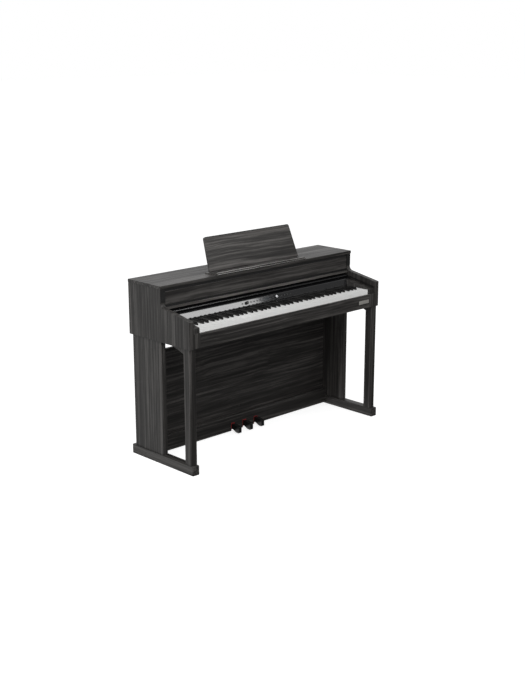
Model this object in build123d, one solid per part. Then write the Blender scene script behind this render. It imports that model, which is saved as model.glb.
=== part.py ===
from build123d import *
import math
import os

# Digital piano on a cabinet stand. Millimetres, +Z up, the player sits on the -Y side.
# Origin: centre of the footprint, on the floor.

# ---- driving dimensions -------------------------------------------------------------
WIDTH = 1377.0            # over the top board
DEPTH = 480.0             # over the feet
TOP_Z = 918.0             # upper face of the top board
CASE_BOTTOM_Z = 637.0     # where the keyboard case sits on the stand
KEY_PITCH = 23.5          # one white key and its gap
WHITE_KEYS = 52
KEY_TOP_Z = 735.0
FOOT_HEIGHT = 47.0
DESK_TILT_DEG = 20.0      # backward lean of the music desk

# ---- the case -----------------------------------------------------------------------
BACK_Y = 234.0            # back edge of the case
FOOT_HALF = DEPTH / 2
TOP_OVERHANG = 3.0
TOP_THICK = 15.0
TOP_FRONT_Y = -22.0
CASE_HALF = WIDTH / 2 - TOP_OVERHANG
SIDE_THICK = 27.0
INNER_HALF = CASE_HALF - SIDE_THICK
SIDE_TOP_Z = TOP_Z - TOP_THICK
CASE_FRONT_Y = -17.0      # front edge of the case sides above the arms
ARM_FRONT_Y = -231.0
ARM_FRONT_Z = 775.0
ARM_START_Z = 812.0
ARM_SWEEP_R = 24.0
ARM_NOSE_R = 5.0
BED_THICK = 18.0
BED_TOP_Z = CASE_BOTTOM_Z + BED_THICK
SLIP_FRONT_Y = -229.0
SLIP_BACK_Y = -207.0
SLIP_TOP_Z = 711.0
SLIP_BOTTOM_Z = CASE_BOTTOM_Z + 1.0
SLIP_REBATE_Z = 688.0     # the top of the slip is cut away behind for the keys
SLIP_REBATE = 7.5
BACK_PANEL_Y = 225.0
BACK_PANEL_THICK = 5.0
BACKER_Y = 0.0
BACKER_THICK = 8.0
MOLDING_BOTTOM_Z = 799.5
MOLDING_LIP_Z = 801.5
MOLDING_TOP_Z = 808.5
MOLDING_FRONT_Y = -29.0
PANEL_LOW_Z = 820.0       # the upper front panel, with a dark gap above and below it
PANEL_HIGH_Z = 887.0
GAP_FLOOR_Y = -14.0       # how far back those gaps end
END_STRIP_INNER = 655.5

# ---- keyboard -----------------------------------------------------------------------
KEY_GAP = 1.0
KEY_FRONT_Y = -218.0
KEY_BACK_Y = 22.0
BLACK_FRONT_Y = -172.0
BLACK_BACK_Y = -69.0
BLACK_TOP_Z = KEY_TOP_Z + 12.0
BLACK_WIDTH = 10.6
BLACK_TOP_WIDTH = 9.2
BLACK_CLEAR = 1.2         # gap between a black key and the white tails beside it
KEY_BOTTOM_Z = 713.0
KEY_LIP_Z = 709.5
PIVOT_Y = 12.0
PIVOT_Z = 722.0
PIVOT_R = 2.0
PIVOT_FIT = 0.05
KEYS_LEFT = -WHITE_KEYS * KEY_PITCH / 2
CHEEK_INNER = 613.5
CHEEK_OUTER = 652.5       # the dark slot beside the arm is left outside this
CHEEK_SETBACK = 8.0
CHEEK_FRONT_Z = 737.0
CHEEK_BACK_Z = 765.7
LETTERS = "abcdefg"       # the lowest white key is an a
SHARP_SHIFT = {"a": 4.5, "c": -3.5, "d": 3.5, "f": -4.5, "g": 0.0}
FIRST_SINGLE = 23         # white key number of the middle c
SINGLE_WHITES = 7
CHASSIS_HALF = 606.0
SHEET = 2.0
STOP_TOP_Z = 698.0

# ---- fallboard track: a straight line that falls towards the player -------------------
TRACK_Y = -22.0
TRACK_Z = 779.0
TRACK_DEG = math.degrees(math.atan2(36.0, 196.0))
TRACK_FRONT_S = -206.0
TRACK_BACK_S = 210.0
TRACK_HALF = 5.0
TRACK_DEPTH = 6.0
TRACK_WALL = 1.0
GUIDE_R = 3.5
FALLBOARD_HALF = 654.0
FALLBOARD_NOSE_S = -6.0
FALLBOARD_TAIL_S = 206.0
FALLBOARD_UNDER = -1.0    # its faces, measured square to the track
FALLBOARD_OVER = 7.0
FALLBOARD_PINS_S = (2.0, 194.0)

# ---- control fascia -------------------------------------------------------------------
FASCIA_WALL = 3.0
FASCIA_BOTTOM_Z = 737.0
FASCIA_FRONT_Y = -65.0
FACE_LOW = (-65.0, 742.0)     # (y, z) of the lower edge of the sloping control face
FACE_HIGH = (-48.0, 770.3)
FASCIA_BACK = (-16.0, 773.4)
FACE_DEG = math.degrees(math.atan2(FACE_HIGH[1] - FACE_LOW[1], FACE_HIGH[0] - FACE_LOW[0]))
FACE_MID = ((FACE_LOW[0] + FACE_HIGH[0]) / 2, (FACE_LOW[1] + FACE_HIGH[1]) / 2)
BUTTON_W = 9.0
BUTTON_H = 6.0
BUTTON_CLEAR = 0.4
POWER_X = -178.0
KNOB_X = -148.0
TONE_XS = (-117.5, -95.8, -74.1, -52.4)
DISPLAY_X = -10.0
DIAL_X = 64.0
SONG_XS = (36.0, 104.0, 126.0, 148.0, 170.0)
KNOB_R = 8.0
KNOB_HEIGHT = 9.0
KNOB_LIFT = 0.8
KNOB_FLUTES = 24
DIAL_HEIGHT = 7.0
DIAL_FLUTES = 16
STEM_R = 3.0
DISPLAY_W = 50.0
DISPLAY_H = 15.0
DISPLAY_T = 1.2

# ---- stand ----------------------------------------------------------------------------
LEG_INNER = 642.0         # the legs and feet are wider than the side panels
PANEL_INNER = 652.0
STAND_OUTER = 680.0
PANEL_FRONT_Y = -9.0
PANEL_BACK_Y = 215.0
LEG_FRONT_Y = -224.0
LEG_BACK_Y = -179.0
GUSSET_DROP = 30.0
GUSSET_RUN = 88.0
GUSSET_TOE = 4.0
FOOT_CORNER_R = 6.0
RAIL_FRONT_Y = 118.0
RAIL_BOARD = 18.0
RAIL_BACK_Y = 168.0
RAIL_BOTTOM_Z = 6.0
RAIL_TOP_Z = 89.0
KICK_FRONT_Y = 149.0
KICK_THICK = 15.0
KICK_TOP_Z = 543.0
CABLE_HOLE_X = -13.0
CABLE_HOLE_Z = 123.0

# ---- pedals ---------------------------------------------------------------------------
PEDAL_CENTRE_X = -6.0
PEDAL_PITCH = 85.0
PEDAL_HALF = 10.5
PEDAL_FRONT_Y = 60.0
PEDAL_TOP_Z = 46.0
PEDAL_NOSE_Z = 39.0
PEDAL_BOTTOM_Z = 5.0
PEDAL_PIVOT_Y = 205.0
PEDAL_PIVOT_Z = 34.0
PEDAL_PIVOT_R = 4.0
PEDAL_BOX_HALF = 130.0
PEDAL_BOX_WALL = 3.0
PEDAL_BOX_BACK_Y = 232.0

# ---- music desk -----------------------------------------------------------------------
DESK_HALF = 318.0         # half width at the foot of the desk
DESK_TOP_HALF = 303.0     # and at its top
DESK_LENGTH = 176.5
DESK_HALF_THICK = 6.0
DESK_PIVOT_Y = 39.0
DESK_PIVOT_Z = 930.0
DESK_PIN_R = 2.0
KNUCKLE_R = 5.0
HINGE_X = 250.0
HINGE_HALF = 12.0
LEDGE_HALF = 325.0
LEDGE_FRONT_Y = -21.0
LEDGE_BACK_Y = 66.0
LEDGE_Z = TOP_Z + 5.0
STRUT_U = 60.0            # distance up the desk of the strut's pivot
STRUT_W = 3.6             # distance behind the desk's mid plane
STRUT_LENGTH = 70.0
STRUT_HALF = 30.0
STRUT_HALF_THICK = 1.5
STRUT_PIN_R = 1.2
STRUT_ANGLE_DEG = 40.5    # opening of the strut from the desk

# ---- speakers and sockets ---------------------------------------------------------------
SPEAKER_X = 450.0
SPEAKER_Y = 130.0
SPEAKER_R = 60.0
JACK_LARGE_R = 3.2
JACK_SMALL_R = 1.8
DC_R = 2.8
HEADPHONE_X = -565.0
HEADPHONE_FRONT_Y = -136.0
HEADPHONE_Z = 625.0
JACK_X = -480.0
JACK_Z = 700.0


def block(x0, x1, y0, y1, z0, z1):
    """A box between two corners."""
    size = Box(x1 - x0, y1 - y0, z1 - z0)
    return Pos((x0 + x1) / 2, (y0 + y1) / 2, (z0 + z1) / 2) * size


def profile(points, x0, x1):
    """A closed (y, z) outline drawn out from x0 to x1."""
    outline = Plane.YZ.offset(x0) * Polyline(*points, close=True)
    return extrude(make_face(outline), x1 - x0, dir=(1, 0, 0))


def rod_x(y, z, radius, x0, x1):
    """A cylinder along X."""
    return Pos((x0 + x1) / 2, y, z) * Rot(0, 90, 0) * Cylinder(radius, x1 - x0)


def rod_y(x, z, radius, y0, y1):
    """A cylinder along Y."""
    return Pos(x, (y0 + y1) / 2, z) * Rot(90, 0, 0) * Cylinder(radius, y1 - y0)


def mirrored(shape):
    return mirror(shape, about=Plane.YZ)


def edge_at(shape, y, z):
    """The edge along X that lies nearest to (y, z)."""
    edges = shape.edges().filter_by(Axis.X)
    return edges.sort_by(lambda e: abs(e.center().Y - y) + abs(e.center().Z - z))[0]


def save(name, *shapes):
    """Write one sub-part, which may be a group of separate solids."""
    solids = []
    for shape in shapes:
        solids.extend(shape.solids())
    body = solids[0] if len(solids) == 1 else Compound(children=solids)
    export_step(body, "parts/" + name + ".step")


def on_track(x0, x1, s0, s1, n0, n1):
    """A box laid along the fallboard track: s runs back up the slope, n stands square to it."""
    return Pos(0, TRACK_Y, TRACK_Z) * Rot(TRACK_DEG, 0, 0) * block(x0, x1, s0, s1, n0, n1)


def on_face(x, shape):
    """Place a shape drawn at the origin, +Z outwards, at x on the middle of the control face."""
    return Pos(x, FACE_MID[0], FACE_MID[1]) * Rot(FACE_DEG, 0, 0) * shape


def on_desk(shape):
    """Place a shape drawn upright at the desk's pivot (+Z up the desk, +Y behind it)."""
    return Pos(0, DESK_PIVOT_Y, DESK_PIVOT_Z) * Rot(-DESK_TILT_DEG, 0, 0) * shape


# ---- case pieces ------------------------------------------------------------------------
def case_side():
    outline = [
        (BACK_Y, CASE_BOTTOM_Z),
        (BACK_Y, SIDE_TOP_Z),
        (CASE_FRONT_Y, SIDE_TOP_Z),
        (CASE_FRONT_Y, ARM_START_Z),
        (ARM_FRONT_Y, ARM_FRONT_Z),
        (ARM_FRONT_Y, CASE_BOTTOM_Z),
    ]
    side = profile(outline, INNER_HALF, CASE_HALF)
    side = fillet(edge_at(side, CASE_FRONT_Y, ARM_START_Z), ARM_SWEEP_R)
    side = fillet(edge_at(side, ARM_FRONT_Y, ARM_FRONT_Z), ARM_NOSE_R)
    groove = on_track(INNER_HALF - 1, INNER_HALF + TRACK_DEPTH, TRACK_FRONT_S, TRACK_BACK_S,
                      -TRACK_HALF, TRACK_HALF)
    return side - groove


def track_liner():
    outer = on_track(INNER_HALF, INNER_HALF + TRACK_DEPTH, TRACK_FRONT_S, TRACK_BACK_S,
                     -TRACK_HALF, TRACK_HALF)
    inner = TRACK_HALF - TRACK_WALL
    slot = on_track(INNER_HALF - 1, INNER_HALF + TRACK_DEPTH - TRACK_WALL,
                    TRACK_FRONT_S + TRACK_WALL, TRACK_BACK_S - TRACK_WALL, -inner, inner)
    return outer - slot


def top_board():
    board = block(-WIDTH / 2, WIDTH / 2, TOP_FRONT_Y, BACK_Y, SIDE_TOP_Z, TOP_Z)
    board = fillet(board.edges().filter_by(Axis.Z), 3.0)
    return fillet(board.faces().sort_by(Axis.Z)[-1].edges(), 1.5)


def back_screw_places():
    places = []
    for x in (-640.0, -384.0, -128.0, 128.0, 384.0, 640.0):
        for z in (BED_TOP_Z + 10.0, SIDE_TOP_Z - 10.0):
            places.append((x, z))
    return places


def case_back_panel():
    panel = block(-INNER_HALF, INNER_HALF, BACK_PANEL_Y, BACK_PANEL_Y + BACK_PANEL_THICK,
                  BED_TOP_Z, SIDE_TOP_Z)
    for x, z in back_screw_places():
        panel -= rod_y(x, z, 2.05, BACK_PANEL_Y - 1, BACK_PANEL_Y + BACK_PANEL_THICK + 1)
    window = block(JACK_X - 50.0, JACK_X + 50.0, BACK_PANEL_Y - 1, BACK_PANEL_Y + BACK_PANEL_THICK + 1,
                   JACK_Z - 14.0, JACK_Z + 14.0)
    return panel - window


def jack_panel():
    flange = block(JACK_X - 56.0, JACK_X + 56.0, BACK_PANEL_Y + BACK_PANEL_THICK,
                   BACK_PANEL_Y + BACK_PANEL_THICK + 1.5, JACK_Z - 20.0, JACK_Z + 20.0)
    flange = fillet(flange.edges().filter_by(Axis.Y), 4.0)
    insert = block(JACK_X - 50.0, JACK_X + 50.0, BACK_PANEL_Y - 13.0, BACK_PANEL_Y + BACK_PANEL_THICK,
                   JACK_Z - 14.0, JACK_Z + 14.0)
    panel = flange + insert
    panel -= rod_y(JACK_X - 32.0, JACK_Z, DC_R, BACK_PANEL_Y - 9.0, BACK_Y)
    panel -= block(JACK_X - 6.0, JACK_X + 6.0, BACK_PANEL_Y - 9.0, BACK_Y, JACK_Z - 5.5, JACK_Z + 5.5)
    panel -= block(JACK_X + 22.0, JACK_X + 36.0, BACK_PANEL_Y - 9.0, BACK_Y, JACK_Z - 3.0, JACK_Z + 3.0)
    return panel


def back_screws():
    face = BACK_PANEL_Y + BACK_PANEL_THICK
    screws = []
    for x, z in back_screw_places():
        head = rod_y(x, z, 4.0, face, face + 2.2)
        head = fillet(head.faces().sort_by(Axis.Y)[-1].edges(), 1.2)
        shank = rod_y(x, z, 2.0, face - 12.0, face)
        recess = block(x - 2.4, x + 2.4, face + 1.2, face + 3, z - 0.5, z + 0.5)
        cross = block(x - 0.5, x + 0.5, face + 1.2, face + 3, z - 2.4, z + 2.4)
        screws.append(head + shank - recess - cross)
    return screws


def upper_front_panel():
    panel = block(-END_STRIP_INNER, END_STRIP_INNER, CASE_FRONT_Y, BACKER_Y, PANEL_LOW_Z, PANEL_HIGH_Z)
    return fillet(panel.faces().sort_by(Axis.Y)[0].edges(), 1.0)


def upper_front_backer():
    """The board behind the upper panel; it steps forward to floor the gaps above and below."""
    outline = [
        (BACKER_Y + BACKER_THICK, MOLDING_BOTTOM_Z),
        (BACKER_Y + BACKER_THICK, SIDE_TOP_Z),
        (GAP_FLOOR_Y, SIDE_TOP_Z),
        (GAP_FLOOR_Y, PANEL_HIGH_Z),
        (BACKER_Y, PANEL_HIGH_Z),
        (BACKER_Y, PANEL_LOW_Z),
        (GAP_FLOOR_Y, PANEL_LOW_Z),
        (GAP_FLOOR_Y, MOLDING_TOP_Z),
        (BACKER_Y, MOLDING_TOP_Z),
        (BACKER_Y, MOLDING_BOTTOM_Z),
    ]
    return profile(outline, -INNER_HALF, INNER_HALF)


def ledge_molding():
    outline = [
        (BACKER_Y, MOLDING_BOTTOM_Z),
        (MOLDING_FRONT_Y, MOLDING_BOTTOM_Z),
        (MOLDING_FRONT_Y, MOLDING_LIP_Z),
        (CASE_FRONT_Y, MOLDING_TOP_Z),
        (BACKER_Y, MOLDING_TOP_Z),
    ]
    return profile(outline, -INNER_HALF, INNER_HALF)


def upper_end_strip():
    return block(END_STRIP_INNER, CASE_HALF - 1.0, CASE_FRONT_Y - 2.5, CASE_FRONT_Y,
                 ARM_START_Z + ARM_SWEEP_R, SIDE_TOP_Z)


def key_bed():
    bed = block(-INNER_HALF, INNER_HALF, SLIP_BACK_Y, BACK_PANEL_Y + BACK_PANEL_THICK,
                CASE_BOTTOM_Z, BED_TOP_Z)
    for x in (-SPEAKER_X, SPEAKER_X):
        bed -= Pos(x, SPEAKER_Y, CASE_BOTTOM_Z) * Cylinder(SPEAKER_R - 6.0, 3 * BED_THICK)
    return bed


def key_slip():
    outline = [
        (SLIP_FRONT_Y, SLIP_BOTTOM_Z),
        (SLIP_FRONT_Y, SLIP_TOP_Z),
        (SLIP_FRONT_Y + SLIP_REBATE, SLIP_TOP_Z),
        (SLIP_FRONT_Y + SLIP_REBATE, SLIP_REBATE_Z),
        (SLIP_BACK_Y, SLIP_REBATE_Z),
        (SLIP_BACK_Y, SLIP_BOTTOM_Z),
    ]
    slip = profile(outline, -CHEEK_INNER, CHEEK_INNER)
    return fillet(edge_at(slip, SLIP_FRONT_Y, SLIP_TOP_Z), 1.5)


def badge_plate():
    plate = block(529.0, 609.0, SLIP_FRONT_Y - 1.0, SLIP_FRONT_Y, 664.0, 683.0)
    return chamfer(plate.faces().sort_by(Axis.Y)[0].edges(), 0.4)


def cheek_block():
    """The block at the end of the keys; its crown ends against the sloping control face."""
    front = SLIP_FRONT_Y + CHEEK_SETBACK
    back = FASCIA_FRONT_Y
    slope = (FACE_HIGH[0] - FACE_LOW[0]) / (FACE_HIGH[1] - FACE_LOW[1])
    crown = [
        (front, SLIP_TOP_Z),
        (front, CHEEK_FRONT_Z),
        (FACE_LOW[0] + slope * (CHEEK_BACK_Z - FACE_LOW[1]), CHEEK_BACK_Z),
        FACE_LOW,
        (back, SLIP_TOP_Z),
    ]
    upper = profile(crown, CHEEK_INNER, CHEEK_OUTER)
    upper = fillet(edge_at(upper, front, CHEEK_FRONT_Z), 3.0)
    body = [
        (SLIP_FRONT_Y, SLIP_BOTTOM_Z),
        (SLIP_FRONT_Y, SLIP_TOP_Z),
        (back, SLIP_TOP_Z),
        (back, BED_TOP_Z),
        (SLIP_BACK_Y, BED_TOP_Z),
        (SLIP_BACK_Y, SLIP_BOTTOM_Z),
    ]
    return upper + profile(body, CHEEK_INNER, INNER_HALF)


# ---- fascia and controls ------------------------------------------------------------------
def fascia_outline():
    """The bent sheet of the fascia: its outer corners, then its inner ones, one wall inside."""
    outer = [(FASCIA_FRONT_Y, FASCIA_BOTTOM_Z), FACE_LOW, FACE_HIGH, FASCIA_BACK]
    inner = [
        (FASCIA_BACK[0], FASCIA_BACK[1] - FASCIA_WALL),
        (FACE_HIGH[0] + 0.5 * FASCIA_WALL, FACE_HIGH[1] - FASCIA_WALL),
        (FACE_LOW[0] + FASCIA_WALL, FACE_LOW[1] - 0.5 * FASCIA_WALL),
        (FASCIA_FRONT_Y + FASCIA_WALL, FASCIA_BOTTOM_Z),
    ]
    return outer + inner


def control_fascia():
    fascia = profile(fascia_outline(), -INNER_HALF, INNER_HALF)
    for corner, radius in ((FACE_LOW, 4.0), (FACE_HIGH, 6.0)):
        fascia = fillet(edge_at(fascia, *corner), radius)
    hole = Box(BUTTON_W + 2 * BUTTON_CLEAR, BUTTON_H + 2 * BUTTON_CLEAR, 20.0)
    for x in (POWER_X, *TONE_XS, *SONG_XS):
        fascia -= on_face(x, hole)
    for x in (KNOB_X, DIAL_X):
        fascia -= on_face(x, Cylinder(STEM_R + BUTTON_CLEAR, 20.0))
    fascia -= on_face(DISPLAY_X, Box(DISPLAY_W, DISPLAY_H, 2 * DISPLAY_T))
    return fascia


def display():
    return on_face(DISPLAY_X, Pos(0, 0, -DISPLAY_T / 2) * Box(DISPLAY_W, DISPLAY_H, DISPLAY_T))


def fluted_knob(height, flutes):
    """A round knob on its stem, with shallow grip flutes that stop short of the face."""
    cap = Pos(0, 0, KNOB_LIFT + height / 2) * Cylinder(KNOB_R, height)
    cap = fillet(cap.faces().sort_by(Axis.Z)[-1].edges(), 1.5)
    flute = Pos(KNOB_R + 0.35, 0, height / 2 + 2.0) * Cylinder(0.7, height)
    for i in range(flutes):
        cap -= Rot(0, 0, i * 360.0 / flutes) * flute
    return cap + Pos(0, 0, -4.0) * Cylinder(STEM_R, 10.0)


def volume_knob():
    pointer = Pos(0, 4.8, KNOB_LIFT + KNOB_HEIGHT) * Box(1.0, 4.0, 1.0)
    return on_face(KNOB_X, fluted_knob(KNOB_HEIGHT, KNOB_FLUTES) - pointer)


def function_dial():
    dish = Pos(0, 0, KNOB_LIFT + DIAL_HEIGHT) * Cylinder(5.0, 0.8)
    return on_face(DIAL_X, fluted_knob(DIAL_HEIGHT, DIAL_FLUTES) - dish)


def button(x):
    cap = Pos(0, 0, -1.4) * Box(BUTTON_W, BUTTON_H, 5.6)
    cap = fillet(cap.faces().sort_by(Axis.Z)[-1].edges(), 0.6)
    flange = Pos(0, 0, -4.9) * Box(BUTTON_W + 3.0, BUTTON_H + 3.0, 1.4)
    return on_face(x, cap + flange)


# ---- fallboard ----------------------------------------------------------------------------
def fallboard():
    board = on_track(-FALLBOARD_HALF, FALLBOARD_HALF, FALLBOARD_NOSE_S, FALLBOARD_TAIL_S,
                     FALLBOARD_UNDER, FALLBOARD_OVER)
    nose = board.edges().filter_by(Axis.X).sort_by(Axis.Y)[:2]
    board = fillet(nose, 3.9)
    pin = Rot(0, 90, 0) * Cylinder(GUIDE_R, 10.0)
    for x in (-FALLBOARD_HALF - 4.0, FALLBOARD_HALF + 4.0):
        for s in FALLBOARD_PINS_S:
            board += Pos(0, TRACK_Y, TRACK_Z) * Rot(TRACK_DEG, 0, 0) * Pos(x, s, 0) * pin
    return board


# ---- keys ---------------------------------------------------------------------------------
def letter_of(number):
    return LETTERS[number % 7]


def sharp_centre(number):
    """X of the black key to the right of a white key, or None where there is none."""
    letter = letter_of(number)
    if letter not in SHARP_SHIFT or number >= WHITE_KEYS - 1:
        return None
    return KEYS_LEFT + (number + 1) * KEY_PITCH + SHARP_SHIFT[letter]


def pivot_bore(x0, x1):
    return rod_x(PIVOT_Y, PIVOT_Z, PIVOT_R + PIVOT_FIT, x0 - 1, x1 + 1)


def white_key(number):
    left = KEYS_LEFT + number * KEY_PITCH + KEY_GAP / 2
    right = left + KEY_PITCH - KEY_GAP
    key = block(left, right, KEY_FRONT_Y, KEY_BACK_Y, KEY_BOTTOM_Z, KEY_TOP_Z)
    key += block(left, right, KEY_FRONT_Y, KEY_FRONT_Y + 12.0, KEY_LIP_Z, KEY_BOTTOM_Z)
    reach = BLACK_WIDTH / 2 + BLACK_CLEAR
    before = sharp_centre(number - 1) if number > 0 else None
    after = sharp_centre(number)
    notch_y = BLACK_FRONT_Y - 2.0
    if before is not None:
        key -= block(left - 1, before + reach, notch_y, KEY_BACK_Y + 1, KEY_LIP_Z - 1, KEY_TOP_Z + 1)
    if after is not None:
        key -= block(after - reach, right + 1, notch_y, KEY_BACK_Y + 1, KEY_LIP_Z - 1, KEY_TOP_Z + 1)
    return key - pivot_bore(left, right)


def level_face(x, half_wide, y0, y1, z):
    outline = Pos(x, (y0 + y1) / 2) * Rectangle(2 * half_wide, y1 - y0)
    return (Plane.XY.offset(z) * outline).face()


def black_key(number):
    x = sharp_centre(number)
    half = BLACK_WIDTH / 2
    top_half = BLACK_TOP_WIDTH / 2
    body = block(x - half, x + half, BLACK_FRONT_Y, KEY_BACK_Y, KEY_BOTTOM_Z, KEY_TOP_Z - 2.0)
    base = level_face(x, half, BLACK_FRONT_Y, BLACK_BACK_Y, KEY_TOP_Z - 2.0)
    crown = level_face(x, top_half, BLACK_FRONT_Y + 5.0, BLACK_BACK_Y, BLACK_TOP_Z)
    cap = loft([base, crown])
    return body + cap - pivot_bore(x - half, x + half)


def key_names():
    """(name, maker, number) of the keys that are separate nodes: one octave from the middle c."""
    singles = []
    for number in range(FIRST_SINGLE, FIRST_SINGLE + SINGLE_WHITES):
        letter = letter_of(number)
        singles.append(("key_" + letter, white_key, number))
        if sharp_centre(number) is not None:
            singles.append(("key_" + letter + "_sharp", black_key, number))
    return singles


def key_pivot_rod():
    return rod_x(PIVOT_Y, PIVOT_Z, PIVOT_R, -CHEEK_INNER, CHEEK_INNER)


def key_chassis():
    base = [(SLIP_BACK_Y + 2.0, 60.0, BED_TOP_Z, BED_TOP_Z + SHEET)]
    stop = [(-200.0, -198.0, BED_TOP_Z, STOP_TOP_Z), (-188.0, -186.0, BED_TOP_Z, STOP_TOP_Z),
            (-200.0, -186.0, STOP_TOP_Z - SHEET, STOP_TOP_Z)]
    rear_top = KEY_BOTTOM_Z - 2.0
    rear = [(4.0, 6.0, BED_TOP_Z, rear_top), (18.0, 20.0, BED_TOP_Z, rear_top),
            (4.0, 20.0, rear_top - SHEET, rear_top)]
    chassis = None
    for y0, y1, z0, z1 in base + stop + rear:
        sheet = block(-CHASSIS_HALF, CHASSIS_HALF, y0, y1, z0, z1)
        chassis = sheet if chassis is None else chassis + sheet
    return chassis


def key_stop_felt():
    return block(-CHASSIS_HALF, CHASSIS_HALF, -199.0, -187.0, STOP_TOP_Z, STOP_TOP_Z + 4.0)


# ---- electronics ----------------------------------------------------------------------------
def main_board():
    board = block(-200.0, 60.0, 78.0, 208.0, BED_TOP_Z + 8.0, BED_TOP_Z + 9.6)
    for x in (-192.0, 52.0):
        for y in (86.0, 200.0):
            board += Pos(x, y, BED_TOP_Z + 4.0) * Cylinder(4.0, 8.0)
    for x0, y0, wide, deep, tall in ((-150.0, 110.0, 28.0, 28.0, 2.0), (-90.0, 120.0, 20.0, 14.0, 2.0),
                                     (-30.0, 100.0, 40.0, 12.0, 12.0), (10.0, 150.0, 16.0, 16.0, 14.0)):
        board += block(x0, x0 + wide, y0, y0 + deep, BED_TOP_Z + 9.6, BED_TOP_Z + 9.6 + tall)
    return board


def speaker(x):
    """A full-range driver that faces down through the key bed."""
    flange = Pos(0, 0, 2.0) * Cylinder(SPEAKER_R, 4.0)
    basket = Pos(0, 0, 4.0 + 15.0) * Cone(SPEAKER_R - 8.0, 32.0, 30.0)
    magnet = Pos(0, 0, 34.0 + 11.0) * Cylinder(34.0, 22.0)
    hollow = Pos(0, 0, 9.0) * Cone(SPEAKER_R - 12.0, 14.0, 18.0)
    return Pos(x, SPEAKER_Y, BED_TOP_Z) * (flange + basket + magnet - hollow)


def speaker_grille(x):
    plate = Pos(0, 0, -1.5) * Cylinder(SPEAKER_R, 3.0)
    for i in range(-5, 6):
        reach = math.sqrt((SPEAKER_R - 8.0) ** 2 - (i * 9.0) ** 2)
        plate -= Pos(i * 9.0, 0, -1.5) * Box(4.5, 2 * reach, 6.0)
    return Pos(x, SPEAKER_Y, CASE_BOTTOM_Z) * plate


def headphone_box():
    front = HEADPHONE_FRONT_Y
    box = block(HEADPHONE_X - 35.0, HEADPHONE_X + 35.0, front, front + 56.0,
                CASE_BOTTOM_Z - 24.0, CASE_BOTTOM_Z)
    box = fillet(box.edges().filter_by(Axis.Y).sort_by(Axis.Z)[:2], 5.0)
    box -= rod_y(HEADPHONE_X - 15.0, HEADPHONE_Z, JACK_LARGE_R, front - 1, front + 30.0)
    box -= rod_y(HEADPHONE_X + 15.0, HEADPHONE_Z, JACK_SMALL_R, front - 1, front + 15.0)
    return box


# ---- stand --------------------------------------------------------------------------------
def stand_side():
    panel = block(PANEL_INNER, STAND_OUTER, PANEL_FRONT_Y, PANEL_BACK_Y, FOOT_HEIGHT, CASE_BOTTOM_Z)
    return fillet(panel.edges().filter_by(Axis.Z), 2.0)


def leg():
    """The front leg with the shallow bracket that runs back from its top under the case."""
    post = block(LEG_INNER, STAND_OUTER + 1.0, LEG_FRONT_Y, LEG_BACK_Y, FOOT_HEIGHT, CASE_BOTTOM_Z)
    front_edges = post.edges().filter_by(Axis.Z).sort_by(Axis.Y)[:2]
    post = fillet(front_edges, 5.0)
    bracket = [
        (LEG_BACK_Y, CASE_BOTTOM_Z),
        (LEG_BACK_Y, CASE_BOTTOM_Z - GUSSET_DROP),
        (LEG_BACK_Y + GUSSET_RUN / 2, CASE_BOTTOM_Z - GUSSET_DROP / 2),
        (LEG_BACK_Y + GUSSET_RUN, CASE_BOTTOM_Z - GUSSET_TOE),
        (LEG_BACK_Y + GUSSET_RUN, CASE_BOTTOM_Z),
    ]
    return post + profile(bracket, LEG_INNER + 2.0, STAND_OUTER - 2.0)


def foot():
    beam = block(LEG_INNER, CASE_HALF, -FOOT_HALF, FOOT_HALF, 0.0, FOOT_HEIGHT)
    beam = fillet(beam.edges().filter_by(Axis.Z), FOOT_CORNER_R)
    return fillet(beam.faces().sort_by(Axis.Z)[-1].edges(), 2.0)


def kick_panel():
    back = KICK_FRONT_Y + KICK_THICK
    panel = block(-PANEL_INNER, PANEL_INNER, KICK_FRONT_Y, back, RAIL_TOP_Z, KICK_TOP_Z)
    return panel - rod_y(CABLE_HOLE_X, CABLE_HOLE_Z, 5.0, KICK_FRONT_Y - 1, back + 1)


def pedal_x(i):
    return PEDAL_CENTRE_X + i * PEDAL_PITCH


def pedal_rail():
    """The front rail and the shelf on top of it, notched over the feet and slotted for the pedals."""
    back = RAIL_FRONT_Y + RAIL_BOARD
    rail = block(-PANEL_INNER, PANEL_INNER, RAIL_FRONT_Y, back, RAIL_BOTTOM_Z, RAIL_TOP_Z)
    rail = fillet(edge_at(rail, RAIL_FRONT_Y, RAIL_TOP_Z), 2.0)
    rail += block(-PANEL_INNER, PANEL_INNER, back, RAIL_BACK_Y, RAIL_TOP_Z - 15.0, RAIL_TOP_Z)
    notch = block(LEG_INNER, PANEL_INNER + 1, RAIL_FRONT_Y - 1, back + 1, RAIL_BOTTOM_Z - 1, FOOT_HEIGHT)
    rail = rail - notch - mirrored(notch)
    reach = PEDAL_HALF + 3.0
    for i in (-1, 0, 1):
        rail -= block(pedal_x(i) - reach, pedal_x(i) + reach, RAIL_FRONT_Y - 1, back + 1,
                      RAIL_BOTTOM_Z - 1, PEDAL_TOP_Z + 4.0)
    return rail


def pedal_box():
    y0 = RAIL_FRONT_Y + RAIL_BOARD
    top = RAIL_TOP_Z - 15.0
    left = PEDAL_CENTRE_X - PEDAL_BOX_HALF
    right = PEDAL_CENTRE_X + PEDAL_BOX_HALF
    box = block(left, right, y0, PEDAL_BOX_BACK_Y, RAIL_BOTTOM_Z, top)
    wall = PEDAL_BOX_WALL
    return box - block(left + wall, right - wall, y0 - 1, PEDAL_BOX_BACK_Y - wall,
                       RAIL_BOTTOM_Z + wall, top - wall)


def pedal_pivot_rod():
    reach = PEDAL_BOX_HALF - PEDAL_BOX_WALL
    left = PEDAL_CENTRE_X - reach
    return rod_x(PEDAL_PIVOT_Y, PEDAL_PIVOT_Z, PEDAL_PIVOT_R, left, left + 2 * reach)


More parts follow.
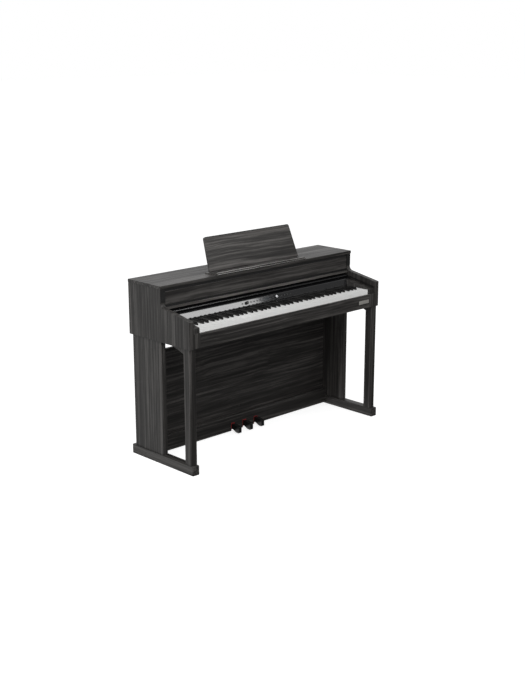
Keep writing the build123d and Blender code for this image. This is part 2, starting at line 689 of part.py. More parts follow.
def pedal(i):
    """A flat lever with a deep nose; the underside sweeps up from the nose to the lever."""
    left = pedal_x(i) - PEDAL_HALF
    right = pedal_x(i) + PEDAL_HALF
    side_view = [
        (PEDAL_FRONT_Y, PEDAL_NOSE_Z),
        (PEDAL_FRONT_Y + 34.0, PEDAL_TOP_Z - 1.0),
        (RAIL_FRONT_Y, PEDAL_TOP_Z),
        (PEDAL_PIVOT_Y + 9.0, PEDAL_TOP_Z),
        (PEDAL_PIVOT_Y + 9.0, 24.0),
        (RAIL_FRONT_Y + 2.0, 24.0),
        (RAIL_FRONT_Y - 4.0, 20.0),
        (PEDAL_FRONT_Y + 36.0, 12.0),
        (PEDAL_FRONT_Y + 26.0, PEDAL_BOTTOM_Z + 1.5),
        (PEDAL_FRONT_Y + 16.0, PEDAL_BOTTOM_Z),
        (PEDAL_FRONT_Y, PEDAL_BOTTOM_Z),
    ]
    lever = profile(side_view, left, right)
    lever = fillet(edge_at(lever, PEDAL_FRONT_Y, PEDAL_NOSE_Z), 4.0)
    lever = fillet(edge_at(lever, PEDAL_FRONT_Y, PEDAL_BOTTOM_Z), 3.0)
    bore = PEDAL_PIVOT_R + PIVOT_FIT
    return lever - rod_x(PEDAL_PIVOT_Y, PEDAL_PIVOT_Z, bore, left - 1, right + 1)


# ---- music desk -------------------------------------------------------------------------------
def music_ledge():
    """The tray on the top board with its front lip and the two knuckles that carry the desk."""
    tray = block(-LEDGE_HALF, LEDGE_HALF, LEDGE_FRONT_Y, LEDGE_BACK_Y, TOP_Z, LEDGE_Z)
    tray = fillet(tray.edges().filter_by(Axis.Z), 4.0)
    lip = block(-LEDGE_HALF + 6.0, LEDGE_HALF - 6.0, LEDGE_FRONT_Y + 2.0, LEDGE_FRONT_Y + 9.0,
                LEDGE_Z, LEDGE_Z + 6.0)
    lip = fillet(lip.edges().filter_by(Axis.X).sort_by(Axis.Z)[-2:], 2.0)
    ridge = block(-LEDGE_HALF + 6.0, LEDGE_HALF - 6.0, 24.0, 28.0, LEDGE_Z, LEDGE_Z + 2.5)
    ledge = tray + lip + ridge
    for side in (-1, 1):
        x = side * HINGE_X
        left = x - HINGE_HALF
        right = x + HINGE_HALF
        knuckle = rod_x(DESK_PIVOT_Y, DESK_PIVOT_Z, KNUCKLE_R, left, right)
        web = block(left, right, DESK_PIVOT_Y - KNUCKLE_R, DESK_PIVOT_Y + KNUCKLE_R, LEDGE_Z, DESK_PIVOT_Z)
        bore = rod_x(DESK_PIVOT_Y, DESK_PIVOT_Z, DESK_PIN_R + PIVOT_FIT, left - 1, right + 1)
        ledge = ledge + knuckle + web - bore
    return ledge


def music_desk():
    outline = [
        (-DESK_HALF, 0.0),
        (DESK_HALF, 0.0),
        (DESK_TOP_HALF, DESK_LENGTH),
        (-DESK_TOP_HALF, DESK_LENGTH),
    ]
    sheet = Plane.XZ.offset(-DESK_HALF_THICK) * Polyline(*outline, close=True)
    slab = extrude(make_face(sheet), 2 * DESK_HALF_THICK, dir=(0, -1, 0))
    upper = slab.edges().filter_by(Axis.Y).sort_by(Axis.Z)[-2:]
    slab = fillet(upper, 12.0)
    foot_edge = rod_x(0, 0, DESK_HALF_THICK, -DESK_HALF, DESK_HALF)
    slab = slab + foot_edge
    for side in (-1, 1):
        x = side * HINGE_X
        left = x - HINGE_HALF - 0.6
        right = x + HINGE_HALF + 0.6
        slab -= block(left, right, -12.0, 12.0, -12.0, 0.0)
        slab -= block(left, right, 0.0, 12.0, -1.0, 9.0)
        slab -= rod_x(0, 0, KNUCKLE_R + 0.6, left, right)
        slab += rod_x(0, 0, DESK_PIN_R, x - HINGE_HALF - 2, x + HINGE_HALF + 2)
    pocket = block(-STRUT_HALF - 0.6, STRUT_HALF + 0.6, STRUT_W - 2.4, DESK_HALF_THICK + 1,
                   STRUT_U - 9.0, STRUT_U + STRUT_LENGTH + 4.0)
    slab -= pocket
    slab -= rod_x(STRUT_W, STRUT_U, STRUT_PIN_R + PIVOT_FIT, -STRUT_HALF - 7.0, STRUT_HALF + 7.0)
    return on_desk(slab)


def desk_strut():
    """A stay plate hinged in the desk's back; its free end stands on the top board."""
    plate = block(-STRUT_HALF, STRUT_HALF, -STRUT_HALF_THICK, STRUT_HALF_THICK, -STRUT_LENGTH, 0.0)
    plate = fillet(plate.edges().filter_by(Axis.Y).sort_by(Axis.Z)[:2], 6.0)
    window = block(-STRUT_HALF + 12.0, STRUT_HALF - 12.0, -3.0, 3.0, -STRUT_LENGTH + 12.0, -12.0)
    plate -= fillet(window.edges().filter_by(Axis.Y), 4.0)
    plate += rod_x(0, 0, STRUT_HALF_THICK, -STRUT_HALF, STRUT_HALF)
    plate += rod_x(0, 0, STRUT_PIN_R, -STRUT_HALF - 6.0, STRUT_HALF + 6.0)
    return on_desk(Pos(0, STRUT_W, STRUT_U) * Rot(STRUT_ANGLE_DEG, 0, 0) * plate)


def build():
    os.makedirs("parts", exist_ok=True)
    pairs = {"case_side": case_side(), "stand_side": stand_side(), "leg": leg(), "foot": foot()}
    for name, right in pairs.items():
        save(name + "_right", right)
        save(name + "_left", mirrored(right))
    singles = [
        top_board, case_back_panel, jack_panel, upper_front_panel, upper_front_backer, ledge_molding,
        key_bed, key_slip, badge_plate, control_fascia, display, volume_knob, function_dial, fallboard,
        key_pivot_rod, key_chassis, key_stop_felt, main_board, headphone_box, kick_panel, pedal_rail,
        pedal_box, pedal_pivot_rod, music_ledge, music_desk, desk_strut,
    ]
    for maker in singles:
        save(maker.__name__, maker())
    save("back_screws", *back_screws())
    save("cheek_blocks", cheek_block(), mirrored(cheek_block()))
    save("fallboard_tracks", track_liner(), mirrored(track_liner()))
    save("upper_end_strips", upper_end_strip(), mirrored(upper_end_strip()))
    save("speakers", speaker(-SPEAKER_X), speaker(SPEAKER_X))
    save("speaker_grilles", speaker_grille(-SPEAKER_X), speaker_grille(SPEAKER_X))
    save("power_button", button(POWER_X))
    save("tone_buttons", *[button(x) for x in TONE_XS])
    save("song_buttons", *[button(x) for x in SONG_XS])
    for i, name in ((-1, "pedal_left"), (0, "pedal_middle"), (1, "pedal_right")):
        save(name, pedal(i))
    single_numbers = set()
    for name, maker, number in key_names():
        save(name, maker(number))
        single_numbers.add(number)
    others = [n for n in range(WHITE_KEYS) if n not in single_numbers]
    save("white_keys", *[white_key(n) for n in others])
    save("black_keys", *[black_key(n) for n in others if sharp_centre(n) is not None])


build()
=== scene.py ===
import math
import bmesh
import bpy
from mathutils import Matrix, Vector


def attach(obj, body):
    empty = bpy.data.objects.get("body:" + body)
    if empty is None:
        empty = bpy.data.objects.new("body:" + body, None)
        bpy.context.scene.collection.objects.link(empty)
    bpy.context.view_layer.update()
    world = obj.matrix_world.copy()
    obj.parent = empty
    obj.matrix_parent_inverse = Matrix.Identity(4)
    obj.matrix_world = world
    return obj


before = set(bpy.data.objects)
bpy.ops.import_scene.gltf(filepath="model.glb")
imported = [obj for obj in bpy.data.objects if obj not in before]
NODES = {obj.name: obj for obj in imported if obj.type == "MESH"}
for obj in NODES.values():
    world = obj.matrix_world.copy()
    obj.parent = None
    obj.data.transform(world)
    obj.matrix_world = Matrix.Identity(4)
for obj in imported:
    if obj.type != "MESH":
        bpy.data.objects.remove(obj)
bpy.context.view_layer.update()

MM = 0.001
FACE_MID = (-0.0565, 0.75615)     # (y, z) of the middle of the control face
FACE_RISE = (0.017, 0.0283)       # how it runs from its lower edge to its upper one
# height off the control face above which the dial's top is painted as a pale metal highlight
DIAL_HIGHLIGHT_HEIGHT = 0.0072


# ---- node helpers -------------------------------------------------------------------
class Tree:
    """A short way to write one material's nodes."""

    def __init__(self, name):
        self.mat = bpy.data.materials.new(name)
        self.mat.use_nodes = True
        self.tree = self.mat.node_tree
        self.bsdf = self.tree.nodes["Principled BSDF"]

    def node(self, kind, **inputs):
        made = self.tree.nodes.new(kind)
        for key, value in inputs.items():
            if hasattr(made, key):
                setattr(made, key, value)
        return made

    def feed(self, value, socket):
        """Connect a socket, or set a plain value."""
        if isinstance(value, bpy.types.NodeSocket):
            self.tree.links.new(value, socket)
        else:
            socket.default_value = value

    def maths(self, operation, a, b=0.0, clamp=False):
        made = self.node("ShaderNodeMath", operation=operation, use_clamp=clamp)
        self.feed(a, made.inputs[0])
        self.feed(b, made.inputs[1])
        return made.outputs[0]

    def place(self):
        """Object coordinates: the shared frame, in metres."""
        return self.node("ShaderNodeTexCoord").outputs["Object"]

    def axes(self, vector):
        parts = self.node("ShaderNodeSeparateXYZ")
        self.feed(vector, parts.inputs[0])
        return parts.outputs

    def vector(self, x, y, z):
        made = self.node("ShaderNodeCombineXYZ")
        for value, socket in zip((x, y, z), made.inputs):
            self.feed(value, socket)
        return made.outputs[0]

    def noise(self, vector, scale, detail=2.0, rough=0.5, distortion=0.0):
        made = self.node("ShaderNodeTexNoise")
        self.feed(vector, made.inputs["Vector"])
        made.inputs["Scale"].default_value = scale
        made.inputs["Detail"].default_value = detail
        made.inputs["Roughness"].default_value = rough
        made.inputs["Distortion"].default_value = distortion
        return made.outputs[0]

    def ramp(self, value, stops):
        made = self.node("ShaderNodeValToRGB")
        self.feed(value, made.inputs[0])
        elements = made.color_ramp.elements
        while len(elements) < len(stops):
            elements.new(0.5)
        for element, (at, colour) in zip(elements, stops):
            element.position = at
            element.color = (*colour, 1.0)
        return made.outputs[0]

    def span(self, value, low, high, out_low=0.0, out_high=1.0):
        made = self.node("ShaderNodeMapRange")
        self.feed(value, made.inputs[0])
        for index, number in zip(range(1, 5), (low, high, out_low, out_high)):
            made.inputs[index].default_value = number
        return made.outputs[0]

    def bump(self, height, strength, distance):
        made = self.node("ShaderNodeBump")
        made.inputs["Strength"].default_value = strength
        made.inputs["Distance"].default_value = distance
        self.feed(height, made.inputs["Height"])
        self.feed(made.outputs[0], self.bsdf.inputs["Normal"])

    def set(self, **values):
        for key, value in values.items():
            self.feed(value, self.bsdf.inputs[key.replace("_", " ")])
        return self.mat


# ---- materials ----------------------------------------------------------------------
def charcoal_wood(name, grain, tone=1.0, roughness=0.42, seed=0.0, wave=0.02):
    """Printed wood-grain foil: dark grey, with long streaks along the grain axis and fine pores."""
    t = Tree(name)
    parts = t.axes(t.place())
    order = {"X": (0, 1, 2), "Y": (1, 0, 2), "Z": (2, 0, 1)}[grain]
    along, side, deep = (parts[i] for i in order)
    along = t.maths("ADD", along, seed)
    wander = t.noise(t.vector(t.maths("MULTIPLY", along, 0.7), side, deep), 3.0, 2.0)
    shift = t.maths("MULTIPLY", t.maths("SUBTRACT", wander, 0.5), wave)
    side = t.maths("ADD", side, shift)
    deep = t.maths("ADD", deep, shift)

    def streaks(stretch, scale, detail, rough=0.55):
        flat = t.vector(t.maths("MULTIPLY", along, stretch), side, deep)
        return t.noise(flat, scale, detail, rough)

    bands = streaks(0.035, 22.0, 3.0)
    lines = streaks(0.018, 95.0, 4.0, 0.6)
    fibres = streaks(0.014, 420.0, 3.0, 0.6)
    pores = t.span(streaks(0.030, 620.0, 1.0), 0.60, 0.70)
    mix = t.maths("ADD", t.maths("MULTIPLY", bands, 0.26), t.maths("MULTIPLY", lines, 0.54))
    mix = t.maths("ADD", mix, t.maths("MULTIPLY", fibres, 0.20))
    mix = t.maths("SUBTRACT", mix, t.maths("MULTIPLY", pores, 0.05))
    dark = tuple(tone * c for c in (0.0085, 0.0078, 0.0073))
    body = tuple(tone * c for c in (0.0235, 0.0220, 0.0208))
    pale = tuple(tone * c for c in (0.0700, 0.0660, 0.0630))
    colour = t.ramp(mix, [(0.40, dark), (0.50, body), (0.60, pale)])
    gloss = t.span(mix, 0.35, 0.65, roughness + 0.08, roughness - 0.05)
    relief = t.maths("SUBTRACT", fibres, t.maths("MULTIPLY", pores, 0.8))
    t.bump(relief, 0.25, 0.0004)
    return t.set(Base_Color=colour, Roughness=gloss, Specular_IOR_Level=0.38)


def moulded_plastic(name, colour, roughness, grain=0.10, scale=900.0):
    """Plastic with a fine moulded texture and slight unevenness."""
    t = Tree(name)
    place = t.place()
    fine = t.noise(place, scale, 2.0)
    broad = t.noise(place, 9.0, 2.0)
    tint = t.ramp(broad, [(0.3, tuple(0.85 * c for c in colour)), (0.7, tuple(1.12 * c for c in colour))])
    t.bump(fine, grain, 0.0002)
    gloss = t.span(broad, 0.3, 0.7, roughness - 0.04, roughness + 0.05)
    return t.set(Base_Color=tint, Roughness=gloss)


def gloss_black(name, colour=(0.006, 0.006, 0.0065), roughness=0.09):
    t = Tree(name)
    place = t.place()
    broad = t.noise(place, 6.0, 2.0)
    dust = t.noise(place, 260.0, 3.0)
    gloss = t.maths("ADD", t.span(broad, 0.3, 0.7, roughness - 0.02, roughness + 0.03),
                    t.span(dust, 0.62, 0.80, 0.0, 0.12))
    tint = t.ramp(dust, [(0.35, colour), (0.80, tuple(2.2 * c for c in colour))])
    t.bump(broad, 0.04, 0.0006)
    return t.set(Base_Color=tint, Roughness=gloss, Coat_Weight=0.6, Coat_Roughness=0.05)


def key_white():
    t = Tree("key_ivory")
    place = t.place()
    broad = t.noise(place, 5.0, 2.0)
    fine = t.noise(place, 1400.0, 2.0)
    tint = t.ramp(broad, [(0.3, (0.87, 0.868, 0.855)), (0.7, (0.92, 0.918, 0.908))])
    t.bump(fine, 0.05, 0.0001)
    gloss = t.span(broad, 0.3, 0.7, 0.20, 0.28)
    return t.set(Base_Color=tint, Roughness=gloss, Coat_Weight=0.25, Coat_Roughness=0.12)


def key_black():
    t = Tree("key_ebony")
    parts = t.axes(t.place())
    flat = t.vector(parts[0], t.maths("MULTIPLY", parts[1], 0.05), parts[2])
    fibres = t.noise(flat, 900.0, 3.0)
    tint = t.ramp(fibres, [(0.35, (0.006, 0.006, 0.006)), (0.65, (0.018, 0.0175, 0.017))])
    t.bump(fibres, 0.18, 0.0002)
    gloss = t.span(fibres, 0.3, 0.7, 0.16, 0.26)
    return t.set(Base_Color=tint, Roughness=gloss, Coat_Weight=0.4, Coat_Roughness=0.08)


def brushed_metal(name, colour, roughness, along=0):
    t = Tree(name)
    parts = t.axes(t.place())
    scaled = [t.maths("MULTIPLY", parts[i], 0.02) if i == along else parts[i] for i in range(3)]
    lines = t.noise(t.vector(*scaled), 2200.0, 3.0)
    tint = t.ramp(lines, [(0.3, tuple(0.80 * c for c in colour)), (0.7, tuple(1.1 * c for c in colour))])
    t.bump(lines, 0.12, 0.0001)
    gloss = t.span(lines, 0.3, 0.7, roughness - 0.06, roughness + 0.08)
    return t.set(Base_Color=tint, Roughness=gloss, Metallic=1.0)


def dial_with_painted_highlight():
    """A black fluted body whose top, the part that stands highest off the face, is painted pale metal: a
    painted highlight standing in for the glint on the dial's top.
    """
    t = Tree("dial_satin")
    place = t.place()
    parts = t.axes(place)
    lean = math.atan2(FACE_RISE[1], FACE_RISE[0])
    off_face = t.maths("SUBTRACT", t.maths("MULTIPLY", parts[2], math.cos(lean)),
                       t.maths("MULTIPLY", parts[1], math.sin(lean)))
    cap_line = FACE_MID[1] * math.cos(lean) - FACE_MID[0] * math.sin(lean) + DIAL_HIGHLIGHT_HEIGHT
    # above this height off the face the dial is painted pale metal, a painted highlight
    highlight_mask = t.span(off_face, cap_line - 0.0002, cap_line + 0.0002)
    fine = t.noise(place, 1600.0, 2.0)
    highlight_grey = t.ramp(fine, [(0.3, (0.42, 0.42, 0.43)), (0.7, (0.56, 0.56, 0.57))])
    blend = t.node("ShaderNodeMix", data_type="RGBA")
    t.feed(highlight_mask, blend.inputs["Factor"])
    blend.inputs[6].default_value = (0.008, 0.008, 0.008, 1.0)
    t.feed(highlight_grey, blend.inputs[7])
    t.bump(fine, 0.1, 0.0001)
    return t.set(Base_Color=blend.outputs[2], Metallic=highlight_mask, Roughness=t.span(fine, 0.3, 0.7, 0.30, 0.42))


def coated_steel(name, colour, roughness):
    t = Tree(name)
    place = t.place()
    peel = t.noise(place, 700.0, 3.0)
    broad = t.noise(place, 12.0, 2.0)
    tint = t.ramp(broad, [(0.3, tuple(0.8 * c for c in colour)), (0.7, tuple(1.2 * c for c in colour))])
    t.bump(peel, 0.15, 0.0003)
    return t.set(Base_Color=tint, Roughness=t.span(peel, 0.3, 0.7, roughness - 0.04, roughness + 0.06))


def felt(name, colour):
    t = Tree(name)
    place = t.place()
    fluff = t.noise(place, 1500.0, 4.0, 0.7)
    clumps = t.noise(place, 120.0, 3.0)
    tint = t.ramp(clumps, [(0.3, tuple(0.7 * c for c in colour)), (0.7, tuple(1.2 * c for c in colour))])
    t.bump(fluff, 0.6, 0.0008)
    return t.set(Base_Color=tint, Roughness=0.95)


def circuit_green():
    t = Tree("circuit_board")
    parts = t.axes(t.place())
    mask = t.noise(t.vector(parts[0], parts[1], 0.0), 160.0, 2.0)
    tint = t.ramp(mask, [
        (0.42, (0.012, 0.075, 0.030)),
        (0.50, (0.020, 0.12, 0.050)),
        (0.62, (0.03, 0.16, 0.07)),
    ])
    t.bump(mask, 0.2, 0.0002)
    return t.set(Base_Color=tint, Roughness=t.span(mask, 0.3, 0.7, 0.28, 0.45))


def hardboard():
    t = Tree("back_hardboard")
    place = t.place()
    flecks = t.noise(place, 320.0, 4.0, 0.7)
    broad = t.noise(place, 4.0, 3.0)
    value = t.maths("ADD", t.maths("MULTIPLY", flecks, 0.6), t.maths("MULTIPLY", broad, 0.4))
    tint = t.ramp(value, [(0.35, (0.010, 0.0095, 0.009)), (0.65, (0.030, 0.028, 0.026))])
    t.bump(flecks, 0.35, 0.0004)
    return t.set(Base_Color=tint, Roughness=t.span(flecks, 0.3, 0.7, 0.62, 0.78))


def make_materials():
    return {
        "side": charcoal_wood("wood_upright", "Z", 1.25, 0.44, 3.1, 0.012),
        "leg": charcoal_wood("wood_leg", "Z", 1.15, 0.46, 4.4, 0.008),
        "front": charcoal_wood("wood_front", "X", 1.0, 0.46, 7.7),
        "slip": charcoal_wood("wood_slip", "X", 1.2, 0.46, 6.1),
        # the molding is the same wood foil, painted 2.6 times lighter and glossier: a painted highlight for
        # the light its sloped top catches
        "molding": charcoal_wood("wood_molding_painted_light", "X", 2.6, 0.36, 8.2),
        "top": charcoal_wood("wood_top", "X", 1.05, 0.44, 1.3, 0.015),
        "kick": charcoal_wood("wood_kick", "X", 1.15, 0.50, 5.9, 0.03),
        "foot": charcoal_wood("wood_foot", "Y", 1.2, 0.46, 2.2, 0.008),
        "desk": charcoal_wood("wood_desk", "X", 1.5, 0.42, 9.4, 0.03),
        "gloss": gloss_black("fascia_gloss"),
        "lacquer": gloss_black("fallboard_lacquer", (0.008, 0.008, 0.0085), 0.14),
        "window": gloss_black("display_window", (0.014, 0.017, 0.020), 0.06),
        "trim_and_gap_shade": moulded_plastic("black_trim_and_gap_shade", (0.008, 0.008, 0.008), 0.50),
        "plastic": moulded_plastic("plastic_black", (0.014, 0.014, 0.014), 0.46, 0.25),
        "knob": moulded_plastic("knob_black", (0.007, 0.007, 0.007), 0.36, 0.12),
        "dial": dial_with_painted_highlight(),
        "button": moulded_plastic("button_black", (0.030, 0.030, 0.031), 0.33, 0.08),
        "dark_button": moulded_plastic("button_dark", (0.008, 0.008, 0.008), 0.50, 0.08),
        "pedal": coated_steel("pedal_black", (0.006, 0.006, 0.006), 0.22),
        "steel_black": coated_steel("steel_black", (0.010, 0.010, 0.010), 0.38),
        "badge": brushed_metal("badge_champagne", (0.80, 0.78, 0.74), 0.55),
        # pale metal for the ledge beads: a painted highlight standing in for the shine along the desk ledge's
        # edges
        "line": brushed_metal("ledge_line", (0.50, 0.495, 0.48), 0.30),
        "zinc": brushed_metal("zinc_steel", (0.55, 0.56, 0.57), 0.36),
        "rod": brushed_metal("bright_steel", (0.62, 0.62, 0.62), 0.24),
        "felt": felt("red_felt", (0.30, 0.02, 0.02)),
        "board": circuit_green(),
        "hardboard": hardboard(),
        "white": key_white(),
        "black": key_black(),
    }


WEARS = {
    "side": ["case_side_left", "case_side_right", "stand_side_left", "stand_side_right", "cheek_blocks"],
    "leg": ["leg_left", "leg_right"],
    "front": ["upper_front_panel", "pedal_rail"],
    "slip": ["key_slip"],
    "molding": ["ledge_molding"],
    "top": ["top_board"],
    "kick": ["kick_panel", "key_bed"],
    "foot": ["foot_left", "foot_right"],
    "desk": ["music_desk", "music_ledge"],
    "gloss": ["control_fascia"],
    "lacquer": ["fallboard"],
    "window": ["display"],
    # black plastic: the backer's flanges above and below the upper panel are a dark sheet of painted shade
    # where those gaps fall in shadow; the end strips and fallboard tracks are painted the same black
    "trim_and_gap_shade": ["upper_front_backer", "upper_end_strips", "fallboard_tracks"],
    "plastic": ["speaker_grilles", "headphone_box", "jack_panel"],
    "knob": ["volume_knob"],
    "dial": ["function_dial"],
    "button": ["power_button", "tone_buttons"],
    "dark_button": ["song_buttons"],
    "pedal": ["pedal_left", "pedal_middle", "pedal_right"],
    "steel_black": ["pedal_box", "desk_strut", "back_screws", "speakers"],
    "badge": ["badge_plate"],
    "zinc": ["key_chassis"],
    "rod": ["key_pivot_rod", "pedal_pivot_rod"],
    "felt": ["key_stop_felt"],
    "board": ["main_board"],
    "hardboard": ["case_back_panel"],
}


def dress(materials):
    for key, names in WEARS.items():
        for name in names:
            paint(NODES[name], materials[key])
    for name, obj in NODES.items():
        if name.endswith("_sharp") or name == "black_keys":
            paint(obj, materials["black"])
        elif name.startswith("key_") and len(name) == 5 or name == "white_keys":
            paint(obj, materials["white"])


def paint(obj, material):
    for place in obj.material_slots:
        place.material = material
    if not obj.material_slots:
        obj.data.materials.append(material)


# ---- small pieces that are only for looks ------------------------------------------------
PEDAL_XS = (-0.091, -0.006, 0.079)
RAIL_FRONT = 0.118
FELT_OUTER = 0.0134               # half-width outside and inside the arch
FELT_INNER = 0.0114
FELT_FOOT = 0.0065                # heights: feet, outside of the crown, inside of the crown
FELT_CROWN = 0.0499
FELT_UNDER = 0.0468
FELT_PROUD = 0.0006               # how far it stands out of the rail, and reaches into it
FELT_DEPTH = 0.014
BEAD_HALF = 0.315


def piece_from(bm, name, material):
    """Close the mesh under its name and put it in the scene."""
    bmesh.ops.recalc_face_normals(bm, faces=bm.faces)
    mesh = bpy.data.meshes.new(name)
    bm.to_mesh(mesh)
    bm.free()
    obj = bpy.data.objects.new(name, mesh)
    bpy.context.scene.collection.objects.link(obj)
    obj.data.materials.append(material)
    return obj


def drawn_out(name, outline, start, end, material, body="cabinet"):
    """Extrude a closed outline along Y. An outline point is (x, z) in metres."""
    bm = bmesh.new()
    rings = []
    for at in (start, end):
        ring = []
        for x, z in outline:
            ring.append(bm.verts.new((x, at, z)))
        rings.append(ring)
    count = len(outline)
    for i in range(count):
        j = (i + 1) % count
        bm.faces.new((rings[0][i], rings[0][j], rings[1][j], rings[1][i]))
    bm.faces.new(rings[0])
    bm.faces.new(rings[1])
    obj = piece_from(bm, name, material)
    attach(obj, body)
    return obj


def pedal_felts(material):
    """A felt arch lines the rail's slot around each pedal."""
    for index, x in enumerate(PEDAL_XS):
        arch = [
            (x - FELT_OUTER, FELT_FOOT), (x - FELT_OUTER, FELT_CROWN),
            (x + FELT_OUTER, FELT_CROWN), (x + FELT_OUTER, FELT_FOOT),
            (x + FELT_INNER, FELT_FOOT), (x + FELT_INNER, FELT_UNDER),
            (x - FELT_INNER, FELT_UNDER), (x - FELT_INNER, FELT_FOOT),
        ]
        felt_piece = drawn_out("pedal_felt_%d" % index, arch, RAIL_FRONT - FELT_PROUD,
                               RAIL_FRONT + FELT_DEPTH, material)
        soften(felt_piece, 0.5, 2)


def bead(name, y, z, radius, half, material):
    """A slender half-sunk bead along X, with tapered ends."""
    sides = 12
    stations = [(-half, 0.3), (-half + 0.004, 1.0), (half - 0.004, 1.0), (half, 0.3)]
    bm = bmesh.new()
    rings = []
    for x, swell in stations:
        ring = []
        for i in range(sides):
            turn = 2 * math.pi * i / sides
            across = y + radius * swell * math.cos(turn)
            up = z + radius * swell * math.sin(turn)
            ring.append(bm.verts.new((x, across, up)))
        rings.append(ring)
    for first, second in zip(rings, rings[1:]):
        for i in range(sides):
            j = (i + 1) % sides
            bm.faces.new((first[i], first[j], second[j], second[i]))
    bm.faces.new(rings[0])
    bm.faces.new(rings[-1])
    obj = piece_from(bm, name, material)
    for face in obj.data.polygons:
        face.use_smooth = True
    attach(obj, "cabinet")


def ledge_highlight_beads(material):
    """Two pale metal beads along the desk's ledge, one on the lip's crest and one on the ledge's front edge;
    they are painted highlights standing in for the shine along those edges.
    """
    bead("ledge_highlight_crest", -0.0155, 0.9290, 0.0016, BEAD_HALF, material)
    bead("ledge_highlight_edge", -0.0208, 0.9215, 0.0013, BEAD_HALF, material)


# ---- softened edges --------------------------------------------------------------------
EDGE_SIZES = {
    1.2: ["case_side_left", "case_side_right", "stand_side_left", "stand_side_right", "leg_left", "leg_right",
          "foot_left", "foot_right", "pedal_rail", "key_slip", "kick_panel", "music_desk",
          "cheek_blocks"],
    0.8: ["upper_front_panel", "ledge_molding", "music_ledge", "fallboard", "headphone_box", "pedal_box"],
    1.5: ["pedal_left", "pedal_middle", "pedal_right"],
}


def soften(obj, size_mm, segments=3):
    bevel = obj.modifiers.new("edge", "BEVEL")
    bevel.width = size_mm * MM
    bevel.segments = segments
    bevel.limit_method = "ANGLE"
    bevel.angle_limit = math.radians(40)
    bevel.harden_normals = True


def soften_edges():
    for size, names in EDGE_SIZES.items():
        for name in names:
            soften(NODES[name], size)
    for name, obj in NODES.items():
        if name.endswith("_sharp") or name == "black_keys":
            soften(obj, 0.9)
        elif name.startswith("key_") and len(name) == 5 or name == "white_keys":
            soften(obj, 0.7)


# ---- studio ----------------------------------------------------------------------------
CAMERA_AT = (-4.1607, -4.3317, 2.1085)
CAMERA_YAW = 43.974
CAMERA_PITCH = 15.296
CAMERA_ROLL = -0.014
CAMERA_LENS = 60.093
WORLD_BRIGHT_SIDE = (0.0, 0.93, 0.37)
WORLD_SPAN = (-0.5, 0.8, 0.12, 1.1)


def camera():
    data = bpy.data.cameras.new("studio_camera")
    data.lens = CAMERA_LENS
    data.sensor_width = 36.0
    cam = bpy.data.objects.new("studio_camera", data)
    bpy.context.scene.collection.objects.link(cam)
    yaw, pitch = math.radians(CAMERA_YAW), math.radians(CAMERA_PITCH)
    ahead = Vector((math.sin(yaw) * math.cos(pitch), math.cos(yaw) * math.cos(pitch), -math.sin(pitch)))
    right = ahead.cross(Vector((0, 0, 1))).normalized()
    above = right.cross(ahead)
    turn = Matrix((right, above, -ahead)).transposed().to_4x4()
    roll = Matrix.Rotation(math.radians(CAMERA_ROLL), 4, "Z")
    cam.matrix_world = Matrix.Translation(CAMERA_AT) @ turn @ roll
    bpy.context.scene.camera = cam


def lamp(name, at, towards, size, power):
    data = bpy.data.lights.new(name, "AREA")
    data.shape = "RECTANGLE"
    data.size, data.size_y = size
    data.energy = power
    obj = bpy.data.objects.new(name, data)
    obj.location = at
    obj.rotation_euler = (Vector(towards) - Vector(at)).to_track_quat("-Z", "Y").to_euler()
    bpy.context.scene.collection.objects.link(obj)


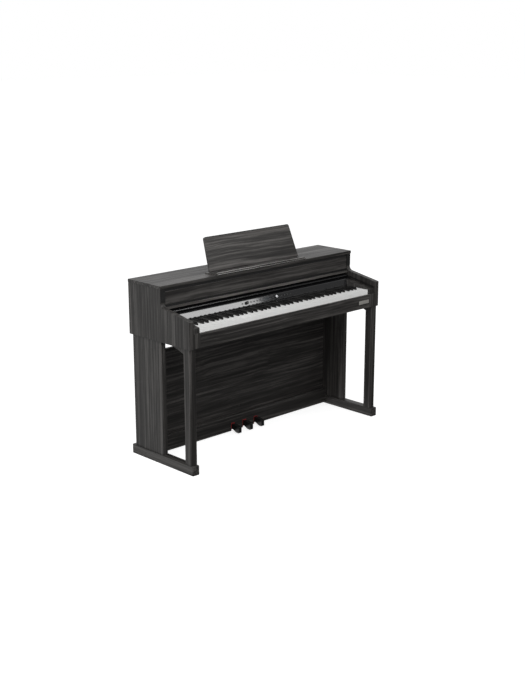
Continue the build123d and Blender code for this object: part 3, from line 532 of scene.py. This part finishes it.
def studio_world():
    """White to look at; as light, bright behind the piano and dim in front of it."""
    world = bpy.data.worlds.new("studio_world")
    bpy.context.scene.world = world
    world.use_nodes = True
    tree = world.node_tree
    tree.nodes.clear()
    out = tree.nodes.new("ShaderNodeOutputWorld")
    seen = tree.nodes.new("ShaderNodeBackground")
    cast = tree.nodes.new("ShaderNodeBackground")
    mix = tree.nodes.new("ShaderNodeMixShader")
    path = tree.nodes.new("ShaderNodeLightPath")
    coord = tree.nodes.new("ShaderNodeTexCoord")
    dot = tree.nodes.new("ShaderNodeVectorMath")
    dot.operation = "DOT_PRODUCT"
    dot.inputs[1].default_value = WORLD_BRIGHT_SIDE
    span = tree.nodes.new("ShaderNodeMapRange")
    for index, value in zip(range(1, 5), WORLD_SPAN):
        span.inputs[index].default_value = value
    seen.inputs[0].default_value = (1, 1, 1, 1)
    seen.inputs[1].default_value = 1.0
    tree.links.new(coord.outputs["Generated"], dot.inputs[0])
    tree.links.new(dot.outputs["Value"], span.inputs[0])
    tree.links.new(span.outputs[0], cast.inputs[1])
    tree.links.new(path.outputs["Is Camera Ray"], mix.inputs[0])
    tree.links.new(cast.outputs[0], mix.inputs[1])
    tree.links.new(seen.outputs[0], mix.inputs[2])
    tree.links.new(mix.outputs[0], out.inputs[0])


def floor():
    """A white sweep that takes a faint shadow and throws no light back."""
    mesh = bpy.data.meshes.new("studio_floor")
    bm = bmesh.new()
    bmesh.ops.create_grid(bm, x_segments=8, y_segments=8, size=40.0)
    bm.to_mesh(mesh)
    bm.free()
    obj = bpy.data.objects.new("studio_floor", mesh)
    bpy.context.scene.collection.objects.link(obj)
    t = Tree("studio_floor")
    broad = t.noise(t.place(), 0.8, 2.0)
    tint = t.ramp(broad, [(0.3, (0.50, 0.50, 0.50)), (0.7, (0.52, 0.52, 0.52))])
    t.bsdf.inputs["Emission Color"].default_value = (1, 1, 1, 1)
    t.bsdf.inputs["Emission Strength"].default_value = 0.78
    obj.data.materials.append(t.set(Base_Color=tint, Roughness=0.9, Specular_IOR_Level=0.0))
    obj.visible_diffuse = False
    obj.visible_glossy = False


def studio():
    camera()
    studio_world()
    floor()
    lamp("strip_for_fascia", (2.0, -2.62, 3.30), (-0.45, -0.06, 0.76), (1.6, 1.0), 30.0)
    lamp("key_left_top", (-2.6, -1.8, 3.6), (0, 0, 0.6), (2.4, 2.4), 90.0)
    lamp("front_soft", (-1.9, -3.9, 2.0), (-0.2, 0, 0.5), (2.2, 2.0), 62.0)
    bpy.context.scene.view_settings.view_transform = "Standard"


studio()
MATERIALS = make_materials()
dress(MATERIALS)
soften_edges()
pedal_felts(MATERIALS["felt"])
ledge_highlight_beads(MATERIALS["line"])
